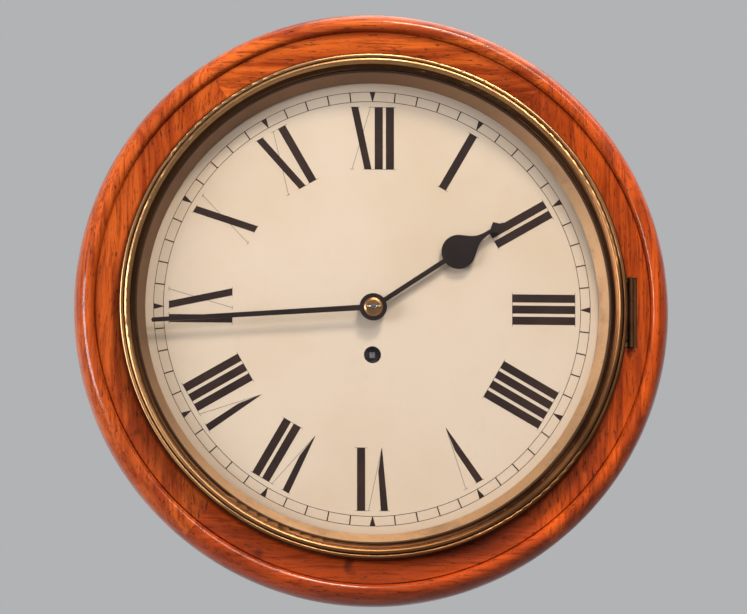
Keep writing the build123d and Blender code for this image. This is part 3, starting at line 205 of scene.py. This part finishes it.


def turned_brass(name, color, tarnish, rough, shaded_grooves, shade_side):
    """Spun brass: fine rings round the dial's axis, brown tarnish in patches, painted shade in the tarnish
    colour deepening towards one (x, z) direction, and rings of dark painted shade between pairs of radii."""
    material, tree, shader = blank(name, Metallic=1.0)
    at = place(tree)
    out = radius(tree, at)
    rings = add(tree, "ShaderNodeTexNoise", {"W": calc(tree, "MULTIPLY", out, SPUN_RINGS), "Detail": 3.0},
                noise_dimensions="1D").outputs["Fac"]
    cloud = noise(tree, at, even(28), 5.0, 0.6)
    specks = noise(tree, at, even(420), 3.0, 0.6)
    aged = calc(tree, "ADD", smooth(tree, cloud, 0.46, 0.78, 0.0, 0.55),
                smooth(tree, specks, 0.60, 0.72, 0.0, 0.4))
    # painted shade: the tarnish colour deepens towards the side that gets the least light
    toward_shade = add(tree, "ShaderNodeVectorMath", {0: at, 1: (shade_side[0], 0.0, shade_side[1])}, operation="DOT_PRODUCT")
    side_shade = smooth(tree, toward_shade.outputs["Value"], *SHADE_SIDE_RANGE, 0.0, 0.85)
    body = blend(tree, calc(tree, "MAXIMUM", aged, side_shade), color, tarnish)
    # rings of painted shade in the grooves and beside the lips
    for low, high in shaded_grooves:
        inside = calc(tree, "MULTIPLY", smooth(tree, out, low - SOFT_EDGE, low),
                      smooth(tree, out, high + SOFT_EDGE, high))
        body = blend(tree, calc(tree, "MULTIPLY", inside, 0.92), body, GROOVE_SHADE_COLOR)
    set_input(tree, shader.inputs["Base Color"], body)
    set_input(tree, shader.inputs["Roughness"], smooth(tree, cloud, 0.3, 0.8, rough, rough + 0.2))
    set_input(tree, shader.inputs["Normal"], bump(tree, rings, 0.00008, 0.35))
    return material


def brushed_metal(name, color, stain, rough, cycles=(2400, 2400, 150)):
    """Grained metal with faint stains."""
    material, tree, shader = blank(name, Metallic=1.0)
    at = place(tree)
    grain = noise(tree, at, cycles, 4.0, 0.6)
    cloud = noise(tree, at, even(55), 4.0, 0.6)
    body = blend(tree, smooth(tree, cloud, 0.42, 0.72, 0.0, 0.7), color, stain)
    set_input(tree, shader.inputs["Base Color"], body)
    set_input(tree, shader.inputs["Roughness"], smooth(tree, grain, 0.25, 0.75, rough, rough + 0.18))
    set_input(tree, shader.inputs["Normal"], bump(tree, grain, 0.00001, 0.2))
    return material


def paint(name, color, second, rough, coat):
    """Brushed or printed paint with a slight mottle."""
    material, tree, shader = blank(name)
    at = place(tree)
    cloud = noise(tree, at, even(45), 4.0)
    grain = noise(tree, at, even(900), 2.0)
    set_input(tree, shader.inputs["Base Color"], blend(tree, smooth(tree, cloud, 0.35, 0.7), color, second))
    set_input(tree, shader.inputs["Roughness"], smooth(tree, grain, 0.3, 0.7, rough, rough + 0.1))
    shader.inputs["Coat Weight"].default_value = coat
    shader.inputs["Specular IOR Level"].default_value = 0.3
    set_input(tree, shader.inputs["Normal"], bump(tree, grain, 0.00004, 0.25))
    return material


DIAL_CREAM = (0.86, 0.735, 0.585, 1)
DIAL_CLOUD = (0.81, 0.66, 0.49, 1)
DIAL_MOTTLE = (0.75, 0.61, 0.47, 1)
DIAL_RIM = (0.70, 0.53, 0.38, 1)
DIAL_RIM_RADII = (0.128, 0.152)        # over which the dial turns browner
DIAL_SPECK = (0.38, 0.25, 0.15, 1)


def dial_paint(name):
    """Aged cream dial paint: soft clouds, a browner rim, fine specks and a faint orange-peel skin."""
    material, tree, shader = blank(name)
    at = place(tree)
    cloud = noise(tree, at, even(11), 4.0)
    fine = noise(tree, at, even(160), 4.0)
    specks = noise(tree, at, even(700), 2.0)
    body = blend(tree, smooth(tree, cloud, 0.35, 0.75), DIAL_CREAM, DIAL_CLOUD)
    body = blend(tree, smooth(tree, fine, 0.5, 0.8, 0.0, 0.25), body, DIAL_MOTTLE)
    body = blend(tree, smooth(tree, radius(tree, at), *DIAL_RIM_RADII, 0.0, 0.5), body, DIAL_RIM)
    body = blend(tree, smooth(tree, specks, 0.72, 0.76, 0.0, 0.5), body, DIAL_SPECK)
    set_input(tree, shader.inputs["Base Color"], body)
    set_input(tree, shader.inputs["Roughness"], smooth(tree, fine, 0.3, 0.7, 0.36, 0.5))
    set_input(tree, shader.inputs["Normal"], bump(tree, fine, 0.00008, 0.3))
    return material


def clear_glass(name):
    """Old window glass, seen only by its reflections: a mirror as strong as glass reflects at each angle,
    from outside and, with the inverse index, from inside."""
    material, tree, shader = blank(name, Base_Color=(0.96, 0.98, 0.97, 1), Metallic=1.0, Roughness=0.02)
    at = place(tree)
    wave = noise(tree, at, even(14), 1.0)
    leaving = add(tree, "ShaderNodeNewGeometry").outputs["Backfacing"]
    index = calc(tree, "MULTIPLY_ADD", leaving, 1 / GLASS_INDEX - GLASS_INDEX, GLASS_INDEX)
    gleam = add(tree, "ShaderNodeFresnel", {"IOR": index}).outputs[0]
    smear = noise(tree, at, even(60), 4.0)
    set_input(tree, shader.inputs["Roughness"], smooth(tree, smear, 0.45, 0.8, 0.015, 0.05))
    set_input(tree, shader.inputs["Alpha"], gleam)
    set_input(tree, shader.inputs["Normal"], bump(tree, wave, 0.001, 0.08))
    material.blend_method = "BLEND"
    return material


TOP_OAK = (0.84, 0.165, 0.020, 1)
LIGHT_OAK = (0.72, 0.136, 0.018, 1)
DARK_OAK = (0.36, 0.047, 0.006, 1)
RED_OAK = (0.76, 0.112, 0.010, 1)
LOW_OAK = (0.60, 0.080, 0.009, 1)
CASE_OAK = ((0.44, 0.165, 0.055, 1), (0.22, 0.070, 0.022, 1))
PEG_OAK = ((0.16, 0.050, 0.015, 1), (0.07, 0.020, 0.007, 1))
VARNISH, CASE_FINISH, PEG_FINISH = 0.10, 0.32, 0.3    # roughness of the coat

looks = {
    "surround_top": oak("oak_top", "X", TOP_OAK, DARK_OAK, (0.3, 0.1, 0.7), VARNISH),
    "surround_bottom": oak("oak_bottom", "X", LOW_OAK, DARK_OAK, (2.3, 1.1, 0.2), VARNISH),
    "surround_left": oak("oak_left", "Z", LIGHT_OAK, DARK_OAK, (1.3, 3.1, 1.7), VARNISH),
    "surround_right": oak("oak_right", "Z", RED_OAK, DARK_OAK, (4.3, 0.6, 2.7), VARNISH),
}
case_upright = oak("case_oak_upright", "Z", *CASE_OAK, (5.1, 2.2, 0.4), CASE_FINISH)
case_level = oak("case_oak_level", "X", *CASE_OAK, (0.9, 4.2, 3.4), CASE_FINISH)
dark_oak = oak("dark_oak", "X", *PEG_OAK, (6.1, 0.2, 1.4), PEG_FINISH)
for name in ("case_left_side", "case_right_side", "case_backboard", "side_door", "surround_lugs"):
    looks[name] = case_upright
for name in ("case_top", "case_bottom", "bottom_door"):
    looks[name] = case_level
for name in ("case_pegs", "side_door_button", "bottom_door_button"):
    looks[name] = dark_oak

SHADED_LOWER_RIGHT = (0.73, -0.68)            # the sides where painted shade in the tarnish colour deepens, as (x, z)
SHADED_UPPER_LEFT = (-0.64, 0.77)
# the rings of painted shade on the bezel and the sight ring, as pairs of radii
BEZEL_SHADED_GROOVES = ((0.1520, 0.1556), (0.1595, 0.1598), (0.1622, 0.1640))
SIGHT_SHADED_GROOVES = ((0.1513, 0.1540),)
bezel_brass = turned_brass("bezel_brass", (0.64, 0.35, 0.15, 1), (0.25, 0.100, 0.036, 1), 0.28, BEZEL_SHADED_GROOVES,
                           SHADED_LOWER_RIGHT)
looks["sight_ring"] = turned_brass("sight_ring_brass", (0.70, 0.46, 0.26, 1), (0.22, 0.125, 0.075, 1), 0.50,
                                   SIGHT_SHADED_GROOVES, SHADED_UPPER_LEFT)
wheel_brass = brushed_metal("wheel_brass", (0.84, 0.62, 0.29, 1), (0.55, 0.36, 0.14, 1), 0.18, even(400))
old_brass = brushed_metal("old_brass", (0.52, 0.36, 0.16, 1), (0.20, 0.12, 0.05, 1), 0.35)
arbor_steel = brushed_metal("arbor_steel", (0.50, 0.50, 0.51, 1), (0.30, 0.28, 0.26, 1), 0.20, even(300))
spring_steel = brushed_metal("spring_steel", (0.20, 0.23, 0.32, 1), (0.12, 0.12, 0.16, 1), 0.25, even(300))
hand_black = paint("hand_black", (0.014, 0.008, 0.007, 1), (0.026, 0.015, 0.012, 1), 0.28, 0.3)
print_black = paint("dial_print", (0.022, 0.008, 0.005, 1), (0.040, 0.016, 0.011, 1), 0.42, 0.05)
by_slot = {
    "bezel_brass": bezel_brass,
    "hinge_bronze": brushed_metal("hinge_bronze", (0.16, 0.085, 0.040, 1), (0.045, 0.024, 0.014, 1), 0.38),
    "case_brass": old_brass,
    "screw_steel": old_brass,
    "hanger_iron": brushed_metal("hanger_iron", (0.10, 0.09, 0.085, 1), (0.11, 0.05, 0.03, 1), 0.5),
    "bezel_glass": clear_glass("bezel_glass"),
    "dial_paint": dial_paint("dial_cream"),
    "hand_black": hand_black,
    "plate_brass": brushed_metal("plate_brass", (0.78, 0.56, 0.25, 1), (0.50, 0.32, 0.12, 1), 0.22),
    "wheel_brass": wheel_brass,
    "arbor_steel": arbor_steel,
    "spring_steel": spring_steel,
    "bob_brass": wheel_brass,
}
for part in frame["record"]["subparts"]:
    name = part["node"]
    material = looks.get(name) or by_slot[part["material_slot"]]
    mesh = nodes[name].data
    mesh.materials.clear()
    mesh.materials.append(material)


# ---- dial printing: thin raised ink on the dial ----

DIAL_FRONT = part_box("dial_plate")[0].y
INK = 0.06 * MM
TRACK_LINE = 0.34 * MM
TICK_HALF = 0.38 * MM
FIVE_HALF_FOOT = 0.2 * MM
FIVE_HALF_TOP = 1.9 * MM
TRACK_OUTER = 140.0 * MM
TRACK_INNER = 133.8 * MM
NUMERAL_FOOT = 89.7 * MM
NUMERAL_HEIGHT = 40.6 * MM
NUMERAL_TOP = NUMERAL_FOOT + NUMERAL_HEIGHT
BAR = 5.2 * MM
BAR_GAP = 2.0 * MM
LEAN_BAR = 4.6 * MM
HAIR = 0.22 * MM
X_SHIFT = {9: 1.8 * MM, 10: 1.8 * MM, 11: -0.8 * MM}    # the painter's uneven spacing
V_WIDTH = 12.6 * MM
V_POINT = 3.8 * MM
V_KINK = 0.62                           # the V's heavy edge bends this share of its height below the top
V_BEND = 0.42                           # and this share of the way to its point
X_WIDTH = 13.2 * MM
LETTER_WIDTH = {"I": BAR, "V": V_WIDTH, "X": X_WIDTH}
I_OVERHANG = 1.3 * MM                   # of a serif past both sides of its bar
V_OVERHANG = 1.0 * MM
X_OVERHANG = 0.8 * MM
V_SERIF_IN = 1.6 * MM                   # from the V's right side, the ends of its thin stroke's serif
V_SERIF_OUT = 1.2 * MM
X_HAIR_FOOT = 0.5 * MM                  # the X's thin stroke starts this far inside its left side
X_HAIR_TOP = 0.8 * MM                   # and ends this far inside its right side
X_SERIF_FOOT = 1.8 * MM                 # how far that stroke's serifs reach into the X
X_SERIF_TOP = 2.0 * MM
DEGREES_AN_HOUR = 30
DEGREES_A_MINUTE = 6
NUMERALS = ("I", "II", "III", "IIII", "V", "VI", "VII", "VIII", "IX", "X", "XI", "XII")


def plate(mesh, outline):
    """A closed thin plate of ink from an outline of (x, z) points."""
    front = [mesh.verts.new((x, DIAL_FRONT - INK, z)) for x, z in outline]
    back = [mesh.verts.new((x, DIAL_FRONT + INK, z)) for x, z in outline]
    count = len(outline)
    mesh.faces.new(front)
    mesh.faces.new(list(reversed(back)))
    for i in range(count):
        mesh.faces.new((front[i], back[i], back[(i + 1) % count], front[(i + 1) % count]))


def ring(mesh, middle, width, steps=240):
    """A closed thin ring of ink about the dial's axis."""
    corners = []
    for step in range(steps):
        angle = 2 * pi * step / steps
        corners.append([
            mesh.verts.new((r * cos(angle), y, r * sin(angle)))
            for r, y in ((middle - width / 2, DIAL_FRONT - INK), (middle + width / 2, DIAL_FRONT - INK),
                         (middle + width / 2, DIAL_FRONT + INK), (middle - width / 2, DIAL_FRONT + INK))
        ])
    for step in range(steps):
        here, following = corners[step], corners[(step + 1) % steps]
        for side in range(4):
            mesh.faces.new((here[side], here[(side + 1) % 4], following[(side + 1) % 4], following[side]))


def on_dial(clock_angle, across, out):
    """The (x, z) of a point beside a dial direction, clockwise degrees from twelve."""
    turn = radians(clock_angle)
    return (out * sin(turn) + across * cos(turn), out * cos(turn) - across * sin(turn))


def finish_ink(name, mesh):
    """Make a piece of the ink, which rides the case."""
    bmesh.ops.recalc_face_normals(mesh, faces=mesh.faces)
    data = bpy.data.meshes.new(name)
    mesh.to_mesh(data)
    mesh.free()
    data.materials.append(print_black)
    piece = bpy.data.objects.new(name, data)
    bpy.context.scene.collection.objects.link(piece)
    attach(piece, "case")


def stroke(mesh, clock_angle, foot, top, width):
    """A bar of one width from a foot to a top position across the numeral."""
    plate(mesh, [on_dial(clock_angle, foot, NUMERAL_FOOT), on_dial(clock_angle, foot + width, NUMERAL_FOOT),
                 on_dial(clock_angle, top + width, NUMERAL_TOP), on_dial(clock_angle, top, NUMERAL_TOP)])


def serif(mesh, clock_angle, left, right, out):
    """A hairline across the end of a stroke."""
    plate(mesh, [on_dial(clock_angle, left, out), on_dial(clock_angle, right, out),
                 on_dial(clock_angle, right, out + HAIR), on_dial(clock_angle, left, out + HAIR)])


def draw_letter(mesh, hour, letter, left):
    """One letter of an hour's numeral, its foot towards the dial's centre."""
    clock_angle = DEGREES_AN_HOUR * hour
    top_line = NUMERAL_TOP - HAIR
    if letter == "I":
        stroke(mesh, clock_angle, left, left, BAR)
        for out in (NUMERAL_FOOT, top_line):
            serif(mesh, clock_angle, left - I_OVERHANG, left + BAR + I_OVERHANG, out)
    if letter == "V":
        point = left + V_POINT
        right = left + V_WIDTH
        corners = [(point, NUMERAL_FOOT), (point + HAIR, NUMERAL_FOOT),
                   (left + LEAN_BAR + V_POINT * V_BEND, NUMERAL_TOP - V_KINK * NUMERAL_HEIGHT),
                   (left + LEAN_BAR, NUMERAL_TOP), (left, NUMERAL_TOP)]
        plate(mesh, [on_dial(clock_angle, across, out) for across, out in corners])
        stroke(mesh, clock_angle, point, right - HAIR, HAIR)
        serif(mesh, clock_angle, left - V_OVERHANG, left + LEAN_BAR + V_OVERHANG, top_line)
        serif(mesh, clock_angle, right - V_SERIF_IN, right + V_SERIF_OUT, top_line)
    if letter == "X":
        left += X_SHIFT.get(hour, 0.0)
        right = left + X_WIDTH
        stroke(mesh, clock_angle, right - LEAN_BAR, left, LEAN_BAR)
        stroke(mesh, clock_angle, left + X_HAIR_FOOT, right - X_HAIR_TOP, HAIR)
        serif(mesh, clock_angle, left - X_OVERHANG, left + X_SERIF_FOOT, NUMERAL_FOOT)
        serif(mesh, clock_angle, right - LEAN_BAR - X_OVERHANG, right + X_OVERHANG, NUMERAL_FOOT)
        serif(mesh, clock_angle, left - X_OVERHANG, left + LEAN_BAR + X_OVERHANG, top_line)
        serif(mesh, clock_angle, right - X_SERIF_TOP, right + X_OVERHANG, top_line)


ink = bmesh.new()
for hour, numeral in enumerate(NUMERALS, start=1):
    width = sum(LETTER_WIDTH[letter] for letter in numeral) + BAR_GAP * (len(numeral) - 1)
    left = -width / 2
    for letter in numeral:
        draw_letter(ink, hour, letter, left)
        left += LETTER_WIDTH[letter] + BAR_GAP
finish_ink("dial_numerals", ink)

ink = bmesh.new()
ring(ink, TRACK_OUTER, TRACK_LINE)
ring(ink, TRACK_INNER, TRACK_LINE)
for minute in range(60):
    clock_angle = DEGREES_A_MINUTE * minute
    foot, top = (TICK_HALF, TICK_HALF) if minute % 5 else (FIVE_HALF_FOOT, FIVE_HALF_TOP)
    plate(ink, [on_dial(clock_angle, -foot, TRACK_INNER), on_dial(clock_angle, foot, TRACK_INNER),
                on_dial(clock_angle, top, TRACK_OUTER), on_dial(clock_angle, -top, TRACK_OUTER)])
finish_ink("dial_minute_track", ink)


# ---- smooth shading of the turned and round parts ----

SHARP_ANGLE = radians(28)
for node in nodes.values():
    for face in node.data.polygons:
        face.use_smooth = True
    node.data.set_sharp_from_angle(angle=SHARP_ANGLE)


# ---- studio: pale floor, soft light, camera ----

def area_light(name, place_at, target, size, power, color):
    """A soft rectangular lamp that faces a target."""
    data = bpy.data.lights.new(name, "AREA")
    data.shape = "RECTANGLE"
    data.size, data.size_y = size
    data.energy = power
    data.color = color
    lamp = bpy.data.objects.new(name, data)
    lamp.location = place_at
    lamp.rotation_euler = (Vector(target) - Vector(place_at)).to_track_quat("-Z", "Y").to_euler()
    bpy.context.scene.collection.objects.link(lamp)


FLOOR_Z = -6.5        # far enough down for a camera that looks up steeply
FLOOR_HALF = 60
floor_mesh = bpy.data.meshes.new("floor")
floor_corners = [(x * FLOOR_HALF, y * FLOOR_HALF, FLOOR_Z) for x, y in ((-1, -1), (1, -1), (1, 1), (-1, 1))]
floor_mesh.from_pydata(floor_corners, [], [(0, 1, 2, 3)])
floor_mesh.materials.append(blank("floor_pale", Base_Color=(0.78, 0.77, 0.75, 1), Roughness=0.7)[0])
floor = bpy.data.objects.new("floor", floor_mesh)
bpy.context.scene.collection.objects.link(floor)

ROOM_LOW = (0.045, 0.043, 0.042, 1)     # dim in front and below, as what the gloss reflects
ROOM_HIGH = (0.22, 0.22, 0.24, 1)
ROOM_BEHIND = (0.44, 0.45, 0.46, 1)     # pale behind the clock
ROOM_RISE = (-0.3, 0.6)                 # upward part of the direction, over which the room gets lighter
ROOM_TURN = (-0.1, 0.7)                 # backward part of the direction, over which it turns pale
world = bpy.data.worlds.new("soft_room")
world.use_nodes = True
sky = world.node_tree
way = add(sky, "ShaderNodeSeparateXYZ", {"Vector": add(sky, "ShaderNodeTexCoord").outputs["Generated"]})
room = blend(sky, smooth(sky, way.outputs["Z"], *ROOM_RISE), ROOM_LOW, ROOM_HIGH)
room = blend(sky, smooth(sky, way.outputs["Y"], *ROOM_TURN), room, ROOM_BEHIND)
set_input(sky, sky.nodes["Background"].inputs["Color"], room)
bpy.context.scene.world = world

FACE = (0, -0.12, 0)     # on the dial's axis, close behind the dial
WARM = (1.0, 0.88, 0.74)
COOL = (0.97, 0.96, 1.0)
SOFT = (1.0, 0.93, 0.86)
WHITE = (1.0, 0.99, 0.97)
area_light("key", place_at=(0.48, -1.25, 1.90), target=FACE, size=(0.50, 0.40), power=41, color=WARM)
area_light("window_left", place_at=(-1.85, -1.05, 0.0), target=FACE, size=(0.95, 0.85), power=35, color=COOL)
area_light("fill_top", place_at=(0.9, -2.1, 1.6), target=FACE, size=(0.9, 0.9), power=22, color=SOFT)
area_light("back_top", place_at=(1.0, 1.3, 2.6), target=(0, 0, 0), size=(3.0, 2.4), power=40, color=WHITE)

DISTANCE = 4.0
VIEW_WIDTH = 0.4784      # of the picture at the aim
SENSOR = 36
VIEW_END = 200           # past the floor's far edge
AZIMUTH, ELEVATION = radians(-4.2), radians(-7.5)
AIM = Vector((0.0010, -0.122, 0.0014))
camera_data = bpy.data.cameras.new("camera")
camera_data.sensor_width = SENSOR
camera_data.lens = SENSOR * DISTANCE / VIEW_WIDTH
camera_data.clip_end = VIEW_END
camera = bpy.data.objects.new("camera", camera_data)
camera.location = AIM + DISTANCE * Vector((sin(AZIMUTH) * cos(ELEVATION), -cos(AZIMUTH) * cos(ELEVATION),
                                           sin(ELEVATION)))
camera.rotation_euler = (AIM - camera.location).to_track_quat("-Z", "Y").to_euler()
bpy.context.scene.collection.objects.link(camera)
bpy.context.scene.camera = camera
bpy.context.scene.view_settings.view_transform = "Standard"
